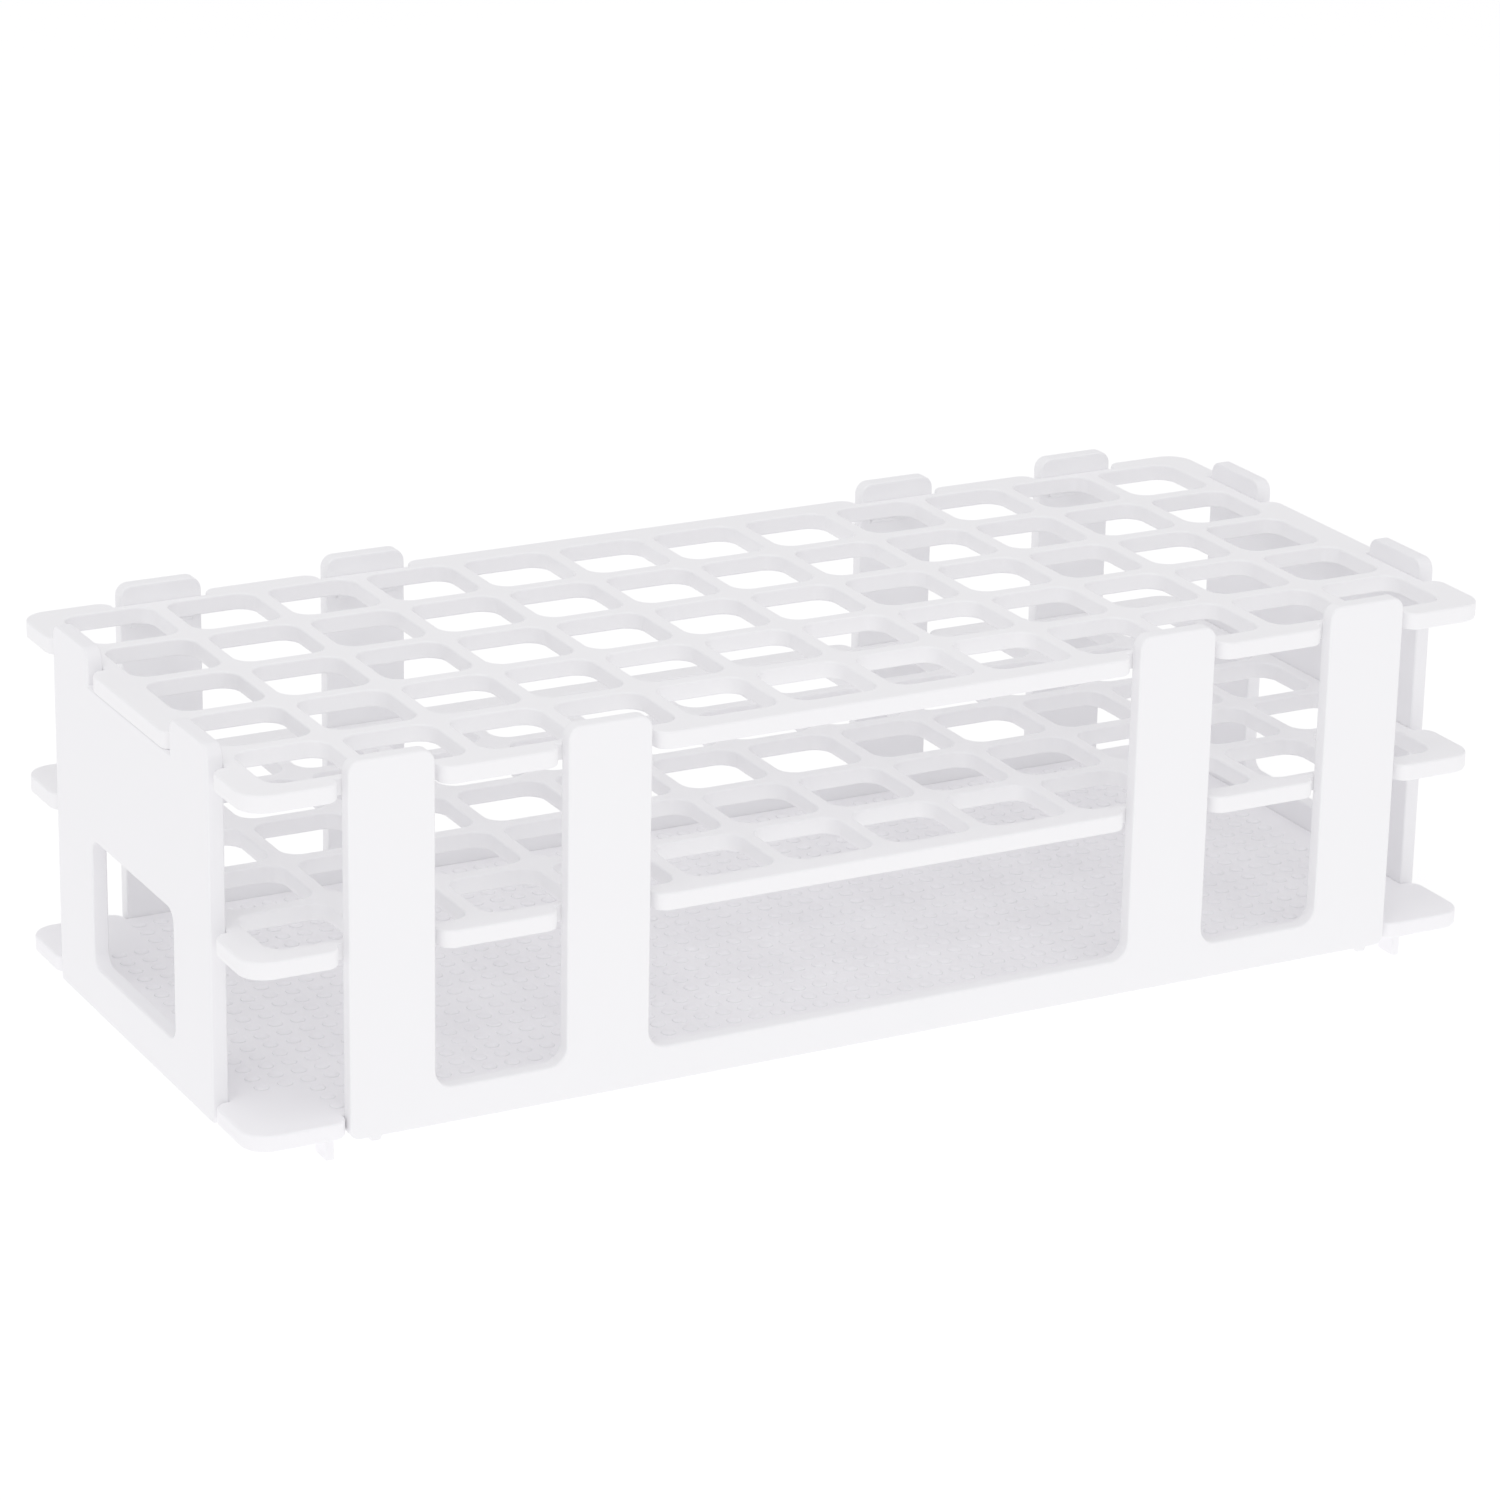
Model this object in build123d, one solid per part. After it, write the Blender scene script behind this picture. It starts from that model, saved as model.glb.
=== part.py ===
from build123d import *
import os

# Snap-together rack for test tubes: three shelves held between two side frames and two end panels.
# X runs along the rack, Y from front to back, Z up. The origin is at the centre of the
# rack's foot plane. Every length is in millimetres.

# Grid of tube places
pitch = 20.0
columns = 12
rows = 5
place_width = 17.2
place_corner_radius = 3.4

# Shelves
end_rim = 6.2               # from the last place to the shelf's short edge
side_rim = 4.9              # from the last place to the shelf's long edge
shelf_thickness = 3.3
floor_thickness = 3.1
shelf_corner_radius = 5.0
lobe_rounding = 0.85        # radius of the lobes' ends, as a share of the notch's depth
notch_gap = 1.2             # between a lobe's end and the post or tab beside it
floor_notch_gap = 0.2       # the same beside a whole frame or panel, on the floor shelf

# Heights
lug_height = 3.2            # below the frames
floor_lift = 0.8            # from the frames' lower edge to the floor shelf
lower_bay = 28.4            # clear height between floor shelf and middle shelf
upper_bay = 26.5            # clear height between middle shelf and top shelf
post_rise = 3.6             # from the top shelf to the tops of posts and tabs

# Side frames
frame_thickness = 3.0
face_recess = 0.2           # frames and panels sit this far inside the lobes' faces
frame_inset = 18.6          # from the shelf's short edge to the frame's end
post_width = 16.0
side_window = 25.0          # between an outer and an inner post
rail_height = 6.8
post_top_radius = 2.4
frame_foot_radius = 1.8
frame_window_radius = 3.4

# End panels
panel_thickness = 3.0
panel_inset = 17.1          # from the shelf's long edge to the panel's edge
tab_width = 17.1
panel_rail_height = 8.9
panel_window_height = 24.4
panel_leg_width = 17.0
panel_window_radius = 2.6

# Ledges that carry each shelf's edge
ledge_depth = 0.8
ledge_height = 1.0
ledge_setback = 2.0         # from a post's or tab's edge to the end of its ledge

# Lugs under the floor shelf and pads under the outer posts
lug_thickness = 1.6
lug_length = 5.0
lug_offset = 2.8            # from the frame's end to the lug
lug_setback = 0.8           # from the shelf's long edge to the lug
pad_width = 2.0
pad_drop = 0.8
pad_offset = 3.8            # from the frame's end to the pad

# Places that follow from the sizes above
half_length = (columns * pitch - (pitch - place_width)) / 2 + end_rim
half_width = (rows * pitch - (pitch - place_width)) / 2 + side_rim
frame_face = half_width - face_recess
frame_back = frame_face - frame_thickness
panel_face = half_length - face_recess
panel_back = panel_face - panel_thickness
frame_end = half_length - frame_inset
panel_end = half_width - panel_inset
outer_post = (frame_end - post_width, frame_end)
inner_post = (outer_post[0] - side_window - post_width, outer_post[0] - side_window)
tab = (panel_end - tab_width, panel_end)
lobe_radius = lobe_rounding * (min(frame_thickness, panel_thickness) + face_recess)

frame_bottom = lug_height
floor_bottom = frame_bottom + floor_lift
floor_top = floor_bottom + floor_thickness
middle_bottom = floor_top + lower_bay
middle_top = middle_bottom + shelf_thickness
top_bottom = middle_top + upper_bay
top_top = top_bottom + shelf_thickness
post_top = top_top + post_rise
rail_top = frame_bottom + rail_height


def box_between(x, y, z):
    """A box from three (low, high) pairs."""
    lows = [low for low, high in (x, y, z)]
    sizes = [high - low for low, high in (x, y, z)]
    return Pos(*lows) * Box(*sizes, align=(Align.MIN, Align.MIN, Align.MIN))


def rectangle_between(x, y):
    """A flat rectangle from two (low, high) pairs."""
    centre = ((x[0] + x[1]) / 2, (y[0] + y[1]) / 2)
    return Pos(*centre) * Rectangle(x[1] - x[0], y[1] - y[0])


def both_signs(pairs):
    """Each (low, high) pair and its mirror image."""
    return [p for low, high in pairs for p in ((low, high), (-high, -low))]


def widened(pair, gap):
    return (pair[0] - gap, pair[1] + gap)


def rounded_at(face, radius, test):
    """The face with its corners rounded where test(corner) holds."""
    corners = [v for v in face.vertices() if test(v)]
    return fillet(corners, radius) if corners else face


def shelf_outline(side_notches, end_notches):
    """The shelf's plan: a rectangle with notches that leave lobes with rounded ends."""
    outline = Rectangle(2 * half_length, 2 * half_width)
    for notch in side_notches:
        outline -= rectangle_between(notch, (frame_back, half_width + 1))
        outline -= rectangle_between(notch, (-half_width - 1, -frame_back))
    for notch in end_notches:
        outline -= rectangle_between((panel_back, half_length + 1), notch)
        outline -= rectangle_between((-half_length - 1, -panel_back), notch)

    def is_corner(v):
        return abs(v.X) > half_length - 0.01 and abs(v.Y) > half_width - 0.01

    def is_lobe_end(v):
        on_side = abs(v.Y) > half_width - 0.01
        on_end = abs(v.X) > half_length - 0.01
        return on_side != on_end

    outline = rounded_at(outline, shelf_corner_radius, is_corner)

    def is_sharp_lobe_end(v):
        past_corner = abs(v.X) > half_length - shelf_corner_radius - 0.01
        past_side = abs(v.Y) > half_width - shelf_corner_radius - 0.01
        return is_lobe_end(v) and not (past_corner and past_side)

    return rounded_at(outline, lobe_radius, is_sharp_lobe_end)


def places():
    """The plan of every tube place."""
    cell = RectangleRounded(place_width, place_width, place_corner_radius)
    return GridLocations(pitch, pitch, columns, rows) * cell


def grid_shelf(bottom, end_notches):
    posts = both_signs([outer_post, inner_post])
    side_notches = [widened(post, notch_gap) for post in posts]
    plan = shelf_outline(side_notches, end_notches) - places()
    return extrude(Pos(0, 0, bottom) * plan, shelf_thickness)


def top_shelf():
    tabs = both_signs([tab])
    return grid_shelf(top_bottom, [widened(t, notch_gap) for t in tabs])


def middle_shelf():
    return grid_shelf(middle_bottom, [widened((-panel_end, panel_end), notch_gap)])


def floor_shelf():
    """The solid floor, with a lug under each corner lobe."""
    frame_notch = widened((-frame_end, frame_end), floor_notch_gap)
    panel_notch = widened((-panel_end, panel_end), floor_notch_gap)
    plan = shelf_outline([frame_notch], [panel_notch])
    shelf = extrude(Pos(0, 0, floor_bottom) * plan, floor_thickness)
    lug_x = (frame_end + lug_offset, frame_end + lug_offset + lug_thickness)
    lug_y = (half_width - lug_setback - lug_length, half_width - lug_setback)
    for x in both_signs([lug_x]):
        for y in both_signs([lug_y]):
            shelf += box_between(x, y, (0, floor_bottom))
    return shelf


def ledge_in_front_of(wall, along, top, across_x):
    """A ledge on a wall's inner face. along is its (low, high) run, along X where across_x is true."""
    run = widened(along, -ledge_setback)
    depth = (wall - ledge_depth, wall)
    height = (top - ledge_height, top)
    return box_between(run, depth, height) if across_x else box_between(depth, run, height)


def side_frame(side):
    """A rail with four posts. side is -1 for the front and +1 for the back."""
    plan = rectangle_between((-frame_end, frame_end), (frame_bottom, rail_top))
    posts = both_signs([outer_post, inner_post])
    for post in posts:
        plan += rectangle_between(post, (frame_bottom, post_top))
    plan = rounded_at(plan, post_top_radius, lambda v: v.Y > post_top - 0.01)
    plan = rounded_at(plan, frame_foot_radius, lambda v: v.Y < frame_bottom + 0.01)
    plan = rounded_at(plan, frame_window_radius, lambda v: abs(v.Y - rail_top) < 0.01)
    for x in both_signs([(frame_end - pad_offset - pad_width, frame_end - pad_offset)]):
        plan += rectangle_between(x, (frame_bottom - pad_drop, frame_bottom + pad_drop))
    plate = extrude(Plane.XZ.offset(-frame_back) * plan, -frame_thickness)
    for post in posts:
        for shelf_bottom in (middle_bottom, top_bottom):
            plate += ledge_in_front_of(frame_back, post, shelf_bottom, True)
    rail_ledge = (frame_back - ledge_depth, frame_back)
    run = (-frame_end + frame_foot_radius, frame_end - frame_foot_radius)
    plate += box_between(run, rail_ledge, (frame_bottom, floor_bottom))
    return plate if side > 0 else mirror(plate, Plane.XZ)


def end_panel(side):
    """A plate with a window low down and two tabs. side is -1 for left and +1 for right."""
    plan = rectangle_between((-panel_end, panel_end), (frame_bottom, top_bottom))
    tabs = both_signs([tab])
    for t in tabs:
        plan += rectangle_between(t, (top_bottom, post_top))
    plan = rounded_at(plan, post_top_radius, lambda v: v.Y > post_top - 0.01)
    window_width = 2 * (panel_end - panel_leg_width)
    window = RectangleRounded(window_width, panel_window_height, panel_window_radius)
    window_middle = frame_bottom + panel_rail_height + panel_window_height / 2
    plan -= Pos(0, window_middle) * window
    plate = extrude(Plane.YZ.offset(panel_back) * plan, panel_thickness)
    for t in tabs:
        for shelf_bottom in (middle_bottom, top_bottom):
            plate += ledge_in_front_of(panel_back, t, shelf_bottom, False)
    rail_ledge = (panel_back - ledge_depth, panel_back)
    run = widened((-panel_end, panel_end), -ledge_setback)
    plate += box_between(rail_ledge, run, (frame_bottom, floor_bottom))
    return plate if side > 0 else mirror(plate, Plane.YZ)


pieces = {
    "top_shelf": top_shelf(),
    "middle_shelf": middle_shelf(),
    "floor_shelf": floor_shelf(),
    "front_side_frame": side_frame(-1),
    "back_side_frame": side_frame(1),
    "left_end_panel": end_panel(-1),
    "right_end_panel": end_panel(1),
}

os.makedirs("parts", exist_ok=True)
for name, piece in pieces.items():
    export_step(piece, f"parts/{name}.step")
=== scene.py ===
import math

import bmesh
import bpy
from mathutils import Matrix, Vector


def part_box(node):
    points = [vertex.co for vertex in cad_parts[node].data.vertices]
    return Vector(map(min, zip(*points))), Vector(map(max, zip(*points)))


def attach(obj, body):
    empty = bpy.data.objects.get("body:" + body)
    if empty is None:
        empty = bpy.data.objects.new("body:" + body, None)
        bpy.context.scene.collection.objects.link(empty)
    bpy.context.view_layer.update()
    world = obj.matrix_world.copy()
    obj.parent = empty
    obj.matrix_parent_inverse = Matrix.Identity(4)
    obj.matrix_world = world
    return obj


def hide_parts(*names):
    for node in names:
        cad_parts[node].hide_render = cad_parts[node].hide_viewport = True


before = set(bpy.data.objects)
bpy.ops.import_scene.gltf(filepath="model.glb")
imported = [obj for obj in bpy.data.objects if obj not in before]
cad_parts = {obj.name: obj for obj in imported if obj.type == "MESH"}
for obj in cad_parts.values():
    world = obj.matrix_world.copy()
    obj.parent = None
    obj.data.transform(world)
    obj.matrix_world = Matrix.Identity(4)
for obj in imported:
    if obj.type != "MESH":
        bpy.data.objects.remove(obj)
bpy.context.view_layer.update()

MM = 0.001

# Edge rounding of the mouldings
EDGE_RADIUS = 0.4 * MM
EDGE_SEGMENTS = 3
SHARP_ANGLE = math.radians(35)
FLAT_ANGLE = math.radians(0.5)     # facets closer than this to one plane become one face
SAME_POINT = 0.001 * MM            # corners closer than this are one corner
NORMAL_WEIGHT = 100                # how far the large faces lead the shading

# Raised dots on the floor shelf
DOT_PITCH_X = 4.4 * MM
DOT_PITCH_Y = 4.2 * MM
DOT_RADIUS = 1.45 * MM
DOT_HEIGHT = 0.42 * MM
DOT_MARGIN = 3.2 * MM              # from the frames and panels to the outermost dots
DOT_SIDES = 10
DOT_RINGS = 6

# Texture of the moulded plastic, in features per metre
CLOUD = 14.0                       # broad shifts of tone
FLOW = 45.0                        # slow marks where the plastic flowed
FLOW_STRETCH = (0.35, 1.0, 1.0)    # drawn out along the rack
MOTTLE = 320.0
SPECK = 2600.0                     # eroded grain
FINE_SPECK = 5200.0
SPECK_DEPTH = 0.06 * MM
WAVE_DEPTH = 0.8 * MM
WAVE_STRENGTH = 0.12
PLASTIC_IOR = 1.49

# Sockets of the colour mix node
MIX_FROM = 6
MIX_TO = 7
MIX_RESULT = 2

# Studio
FLOOR_SIZE = 4.0
FLOOR_GLOW = 0.61
FLOOR_ROUGHNESS = 0.9
FLOOR_CLOUD = 3.0                  # features per metre
SKY_COLOUR = (0.985, 0.98, 1.0, 1.0)
SKY_STRENGTH = 0.65
LIGHT_AIM = (0.0, 0.0, 0.03)
DISPLAY_GAMMA = 1.3

# Camera
CAMERA_AZIMUTH = math.radians(27.95)    # turned from looking along +Y towards +X
CAMERA_ELEVATION = math.radians(19.63)
CAMERA_ROLL = math.radians(1.03)
CAMERA_PLACE = (-431.7 * MM, -799.9 * MM, 367.7 * MM)
CAMERA_LENS = 124.6                     # on a sensor 36 wide
CAMERA_SENSOR = 36.0
CAMERA_SHIFT = (0.0177, -0.0093)
NEAR_LIMIT = 0.01
FAR_LIMIT = 50.0


# ---------------------------------------------------------------- shader maths

class Value:
    """A number socket of a material that can be used in an expression."""

    def __init__(self, maker, socket):
        self.maker = maker
        self.socket = socket

    def _with(self, operation, a, b):
        out = self.maker.node("ShaderNodeMath", {"operation": operation}, {0: a, 1: b})
        return Value(self.maker, out.outputs[0])

    def __add__(self, other):
        return self._with("ADD", self, other)

    def __radd__(self, other):
        return self._with("ADD", other, self)

    def __sub__(self, other):
        return self._with("SUBTRACT", self, other)

    def __rsub__(self, other):
        return self._with("SUBTRACT", other, self)

    def __mul__(self, other):
        return self._with("MULTIPLY", self, other)

    def __rmul__(self, other):
        return self._with("MULTIPLY", other, self)


class Maker:
    """Adds nodes to one material."""

    def __init__(self, name):
        self.material = bpy.data.materials.new(name)
        self.material.use_nodes = True
        self.tree = self.material.node_tree
        self.tree.nodes.clear()

    def node(self, kind, settings=None, sockets=None):
        made = self.tree.nodes.new(kind)
        for key, setting in (settings or {}).items():
            setattr(made, key, setting)
        for key, value in (sockets or {}).items():
            if isinstance(value, Value):
                value = value.socket
            if isinstance(value, bpy.types.NodeSocket):
                self.tree.links.new(value, made.inputs[key])
            else:
                made.inputs[key].default_value = value
        return made

    def noise(self, place, scale, detail=2.0, roughness=0.5):
        """Noise from 0 to 1 with a middle of about 0.5; scale is in features per metre."""
        made = self.node("ShaderNodeTexNoise", None,
                         {"Vector": place, "Scale": scale, "Detail": detail, "Roughness": roughness})
        return Value(self, made.outputs[0])


def moulded_plastic(name, pale, deep, roughness, grain):
    """Satin white polypropylene: eroded grain, slow flow marks, slight shifts of colour and gloss."""
    m = Maker(name)
    place = m.node("ShaderNodeTexCoord").outputs["Object"]
    stretch = m.node("ShaderNodeMapping", None, {"Vector": place, "Scale": FLOW_STRETCH})
    flow = m.noise(stretch.outputs[0], FLOW, 3.0)
    cloud = m.noise(place, CLOUD, 2.0)
    mottle = m.noise(place, MOTTLE, 3.0, 0.6)
    speck = m.noise(place, SPECK, 2.0, 0.6)
    fine = m.noise(place, FINE_SPECK, 2.0, 0.55)
    tone = flow * 0.35 + cloud * 0.45 + mottle * 0.2
    colour = m.node("ShaderNodeMix", {"data_type": "RGBA"},
                    {"Factor": tone, MIX_FROM: (*deep, 1.0), MIX_TO: (*pale, 1.0)})
    shine = roughness + (mottle - 0.5) * 0.16 + (flow - 0.5) * 0.10 + (speck - 0.5) * 0.10
    height = speck * 0.55 + fine * 0.45
    bump = m.node("ShaderNodeBump", None,
                  {"Strength": grain, "Distance": SPECK_DEPTH, "Height": height})
    waves = m.node("ShaderNodeBump", None,
                   {"Strength": WAVE_STRENGTH, "Distance": WAVE_DEPTH,
                    "Height": flow, "Normal": bump.outputs[0]})
    surface = m.node("ShaderNodeBsdfPrincipled", None,
                     {"Base Color": colour.outputs[MIX_RESULT], "Roughness": shine,
                      "Normal": waves.outputs[0], "IOR": PLASTIC_IOR})
    m.node("ShaderNodeOutputMaterial", None, {"Surface": surface.outputs[0]})
    return m.material


# The four copies of this one white plastic differ in base colour only as painted light and shade: the
# floor's is paler, standing in for light that reaches the floor inside the rack, and the shelves',
# frames' and panels' are darker in steps, toning down their lit tops and faces.
shelf_plastic = moulded_plastic("shelf plastic painted shade", pale=(0.965, 0.960, 0.972), deep=(0.945, 0.938, 0.955),
                                roughness=0.42, grain=0.35)
floor_plastic = moulded_plastic("floor plastic painted light", pale=(0.985, 0.976, 0.997), deep=(0.968, 0.957, 0.984),
                                roughness=0.46, grain=0.45)
frame_plastic = moulded_plastic("frame plastic painted shade", pale=(0.955, 0.952, 0.965), deep=(0.935, 0.930, 0.948),
                                roughness=0.36, grain=0.25)
panel_plastic = moulded_plastic("panel plastic painted shade", pale=(0.940, 0.935, 0.953), deep=(0.920, 0.912, 0.936),
                                roughness=0.38, grain=0.28)

FINISH = {
    "top_shelf": ("shelf_plastic", shelf_plastic),
    "middle_shelf": ("shelf_plastic", shelf_plastic),
    "floor_shelf": ("floor_plastic", floor_plastic),
    "front_side_frame": ("frame_plastic", frame_plastic),
    "back_side_frame": ("frame_plastic", frame_plastic),
    "left_end_panel": ("panel_plastic", panel_plastic),
    "right_end_panel": ("panel_plastic", panel_plastic),
}


# ------------------------------------------------------------------ mouldings

def add_piece(name, bm, material):
    mesh = bpy.data.meshes.new(name)
    bm.to_mesh(mesh)
    bm.free()
    mesh.materials.append(material)
    piece = bpy.data.objects.new(name, mesh)
    bpy.context.scene.collection.objects.link(piece)
    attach(piece, "root")
    return piece


def softened(node):
    """The node's shape with every sharp edge rounded as a mould leaves it."""
    bm = bmesh.new()
    bm.from_mesh(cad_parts[node].data)
    bmesh.ops.remove_doubles(bm, verts=bm.verts, dist=SAME_POINT)
    bmesh.ops.dissolve_limit(bm, angle_limit=FLAT_ANGLE, verts=bm.verts, edges=bm.edges)
    sharp = [e for e in bm.edges if len(e.link_faces) == 2 and e.calc_face_angle() > SHARP_ANGLE]
    bmesh.ops.bevel(bm, geom=sharp, offset=EDGE_RADIUS, offset_type="OFFSET", affect="EDGES",
                    segments=EDGE_SEGMENTS, profile=0.5, material=-1, clamp_overlap=False)
    for face in bm.faces:
        face.smooth = True
    return bm


for node, (slot, material) in FINISH.items():
    piece = add_piece(node + "_moulding", softened(node), material)
    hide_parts(node)
    even = piece.modifiers.new("even normals", "WEIGHTED_NORMAL")
    even.weight = NORMAL_WEIGHT
    even.keep_sharp = False


# ---------------------------------------------------------- dots on the floor

def floor_dots():
    """One low dome, copied over the floor between the panels and frames, but not on the corner lobes."""
    floor_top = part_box("floor_shelf")[1].z
    inner_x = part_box("right_end_panel")[0].x - DOT_MARGIN
    inner_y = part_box("back_side_frame")[0].y - DOT_MARGIN
    lobe_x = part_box("front_side_frame")[1].x
    lobe_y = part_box("right_end_panel")[1].y
    across = int(inner_x / DOT_PITCH_X)
    along = int(inner_y / DOT_PITCH_Y)
    dome = bmesh.new()
    bmesh.ops.create_uvsphere(dome, u_segments=DOT_SIDES, v_segments=DOT_RINGS, radius=DOT_RADIUS)
    bmesh.ops.scale(dome, vec=(1, 1, DOT_HEIGHT / DOT_RADIUS), verts=dome.verts)
    bmesh.ops.translate(dome, vec=(0, 0, floor_top), verts=dome.verts)
    for face in dome.faces:
        face.smooth = True
    one = bpy.data.meshes.new("one_dot")
    dome.to_mesh(one)
    dome.free()
    bm = bmesh.new()
    for i in range(-across, across + 1):
        for j in range(-along, along + 1):
            x = i * DOT_PITCH_X
            y = j * DOT_PITCH_Y
            if abs(x) > lobe_x and abs(y) > lobe_y:
                continue
            one.transform(Matrix.Translation((x, y, 0)))
            bm.from_mesh(one)
            one.transform(Matrix.Translation((-x, -y, 0)))
    bpy.data.meshes.remove(one)
    return bm


add_piece("floor_dots", floor_dots(), floor_plastic)


# --------------------------------------------------------------- floor, light

def studio():
    """A pale floor that glows slightly, under an even sky."""
    m = Maker("studio floor")
    place = m.node("ShaderNodeTexCoord").outputs["Object"]
    tone = m.noise(place, FLOOR_CLOUD, 2.0)
    colour = m.node("ShaderNodeMix", {"data_type": "RGBA"},
                    {"Factor": tone, MIX_FROM: (0.50, 0.50, 0.50, 1.0), MIX_TO: (0.54, 0.54, 0.54, 1.0)})
    surface = m.node("ShaderNodeBsdfPrincipled", None,
                     {"Base Color": colour.outputs[MIX_RESULT], "Roughness": FLOOR_ROUGHNESS,
                      "Emission Color": (1.0, 1.0, 1.0, 1.0), "Emission Strength": FLOOR_GLOW})
    m.node("ShaderNodeOutputMaterial", None, {"Surface": surface.outputs[0]})
    bm = bmesh.new()
    bmesh.ops.create_grid(bm, x_segments=1, y_segments=1, size=FLOOR_SIZE)
    mesh = bpy.data.meshes.new("studio_floor")
    bm.to_mesh(mesh)
    bm.free()
    mesh.materials.append(m.material)
    floor = bpy.data.objects.new("studio_floor", mesh)
    bpy.context.scene.collection.objects.link(floor)

    world = bpy.data.worlds.new("studio")
    bpy.context.scene.world = world
    world.use_nodes = True
    sky = world.node_tree.nodes["Background"]
    sky.inputs["Color"].default_value = SKY_COLOUR
    sky.inputs["Strength"].default_value = SKY_STRENGTH


def soft_light(name, place, size, power):
    """A rectangular light at place, turned towards the rack."""
    data = bpy.data.lights.new(name, "AREA")
    data.shape = "RECTANGLE"
    data.size, data.size_y = size
    data.energy = power
    lamp = bpy.data.objects.new(name, data)
    lamp.location = place
    lamp.rotation_euler = (Vector(LIGHT_AIM) - Vector(place)).to_track_quat("-Z", "Y").to_euler()
    bpy.context.scene.collection.objects.link(lamp)


# --------------------------------------------------------------------- camera

def camera():
    forward = Vector((math.sin(CAMERA_AZIMUTH) * math.cos(CAMERA_ELEVATION),
                      math.cos(CAMERA_AZIMUTH) * math.cos(CAMERA_ELEVATION),
                      -math.sin(CAMERA_ELEVATION)))
    level = forward.to_track_quat("-Z", "Y").to_matrix().to_4x4()
    data = bpy.data.cameras.new("camera")
    data.sensor_width = CAMERA_SENSOR
    data.lens = CAMERA_LENS
    data.shift_x, data.shift_y = CAMERA_SHIFT
    data.clip_start = NEAR_LIMIT
    data.clip_end = FAR_LIMIT
    cam = bpy.data.objects.new("camera", data)
    cam.matrix_world = Matrix.Translation(CAMERA_PLACE) @ level @ Matrix.Rotation(CAMERA_ROLL, 4, "Z")
    bpy.context.scene.collection.objects.link(cam)
    bpy.context.scene.camera = cam


studio()
soft_light("front key", place=(0.2, -1.6, 1.0), size=(1.6, 1.2), power=2.1)
soft_light("overhead", place=(-0.45, -0.35, 1.5), size=(1.0, 1.0), power=4.8)
camera()
bpy.context.scene.view_settings.view_transform = "Standard"
bpy.context.scene.view_settings.gamma = DISPLAY_GAMMA
